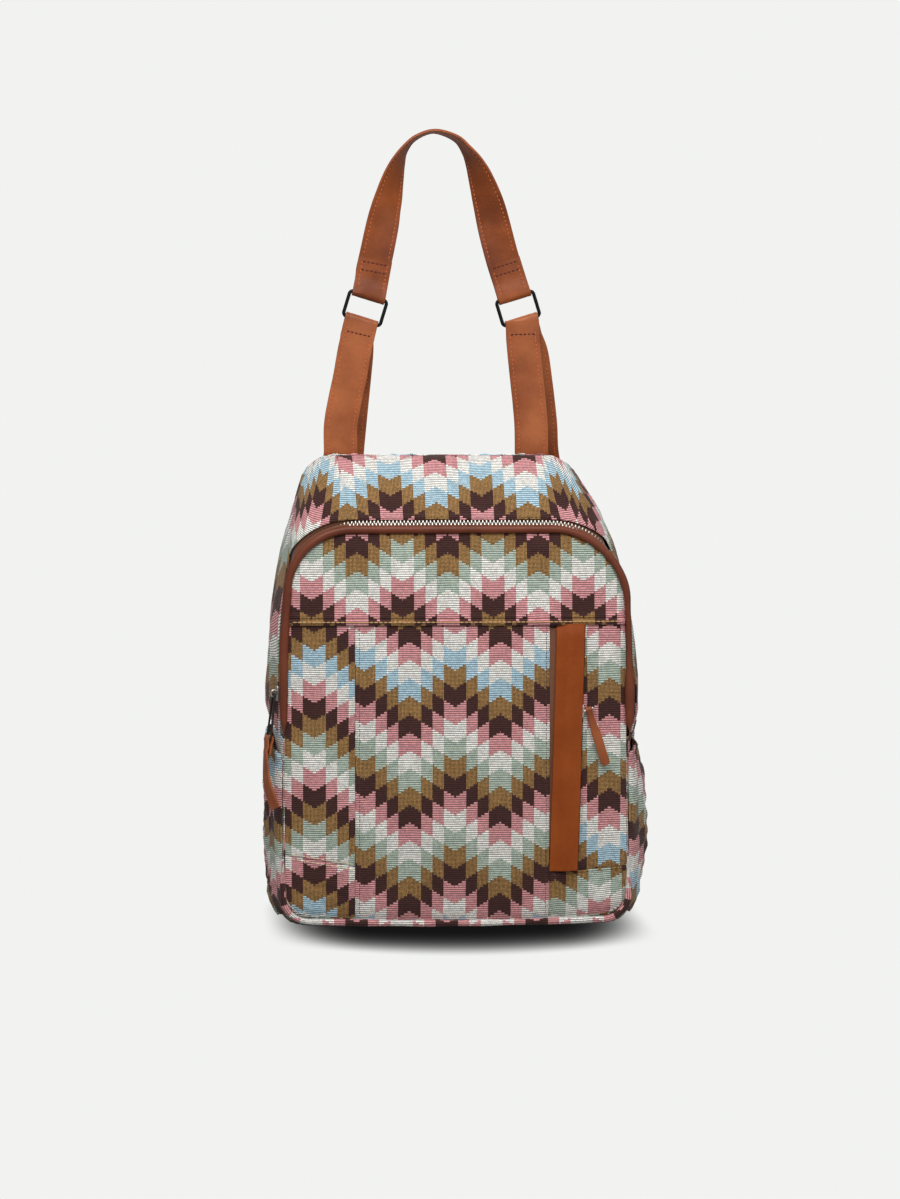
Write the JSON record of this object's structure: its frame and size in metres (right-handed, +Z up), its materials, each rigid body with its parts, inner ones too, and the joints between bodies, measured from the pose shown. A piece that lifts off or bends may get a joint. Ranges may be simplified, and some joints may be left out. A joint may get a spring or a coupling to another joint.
{
  "type": "backpack",
  "caption": "Small backpack in zigzag woven cloth with leather piping, zipped main and front pockets, side pockets, and shoulder straps joined by an arched leather handle",
  "frame": {"origin": "on the ground, under the middle of the bag's base", "axes": "+Z up, the bag's front faces -Y, +X is the viewer's right when looking at the front"},
  "size_m": [0.2805, 0.1277, 0.5777],
  "materials": {
    "woven_cloth": "ribbed jacquard weave in zigzag bands",
    "lining_cloth": "plain woven lining",
    "foam": "thin open foam",
    "board": "stiffening board",
    "dark_leather": "smooth, slightly shiny",
    "tan_leather": "smooth, half matt, with painted edges",
    "black_metal": "black, half gloss",
    "silver_metal": "bright nickel",
    "zip_tape": "woven tape"
  },
  "bodies": {
    "bag": {"back_foam": "foam", "back_panel": "woven_cloth", "base_board": "board", "base_panel": "woven_cloth", "front_center_panel": "woven_cloth", "front_left_corner": "woven_cloth", "front_left_panel": "woven_cloth", "front_lining": "lining_cloth", "front_piping": "dark_leather", "front_pocket_pouch": "lining_cloth", "front_right_corner": "woven_cloth", "front_right_panel": "woven_cloth", "front_yoke": "woven_cloth", "main_lining": "lining_cloth", "main_zip_tape_front": "zip_tape", "main_zip_tape_rear": "zip_tape", "main_zip_teeth": "silver_metal", "pocket_cover_strip": "tan_leather", "pocket_zip_tape": "zip_tape", "pocket_zip_teeth": "silver_metal", "shoulder_strap_left": "tan_leather", "shoulder_strap_right": "tan_leather", "side_panel_left": "woven_cloth", "side_panel_right": "woven_cloth", "side_pocket_left": "woven_cloth", "side_pocket_right": "woven_cloth", "strap_patch_left": "tan_leather", "strap_patch_right": "tan_leather", "top_gusset": "woven_cloth"},
    "handle": {"handle_strap": "tan_leather", "ring_left": "black_metal", "ring_right": "black_metal"},
    "main_link": {"main_pull_link": "silver_metal"},
    "main_tab": {"main_pull_tab": "tan_leather"},
    "main_slider": {"main_zip_slider": "silver_metal"},
    "pocket_tab": {"pocket_pull_tab": "tan_leather"},
    "pocket_slider": {"pocket_zip_slider": "silver_metal"}
  },
  "joints": [
    {"name": "main_zip_slide", "type": "slide", "parent": "bag", "child": "main_slider", "axis": [0, 0, 1], "range_m": [-0.018, 0.025]},
    {"name": "main_link_swing", "type": "hinge", "parent": "main_slider", "child": "main_link", "pos_m": [-0.13378, -0.05042, 0.17], "axis": [-0.2324, 0.9726, 0], "range_deg": [0, 140]},
    {"name": "main_tab_swing", "type": "hinge", "parent": "main_link", "child": "main_tab", "pos_m": [-0.13758, -0.05133, 0.13723], "axis": [-0.2324, 0.9726, 0], "range_deg": [0, 60]},
    {"name": "pocket_zip_slide", "type": "slide", "parent": "bag", "child": "pocket_slider", "axis": [0.0286, 0, 0.9996], "range_m": [-0.055, 0.03]},
    {"name": "pocket_tab_swing", "type": "hinge", "parent": "pocket_slider", "child": "pocket_tab", "pos_m": [0.0926, -0.06537, 0.1581], "axis": [-0.9542, 0, -0.299], "range_deg": [0, 140]},
    {"name": "handle_swing", "type": "hinge", "parent": "bag", "child": "handle", "pos_m": [-0.01, -0.01, 0.4389], "axis": [1, 0, 0], "range_deg": [-11, 11]}
  ]
}
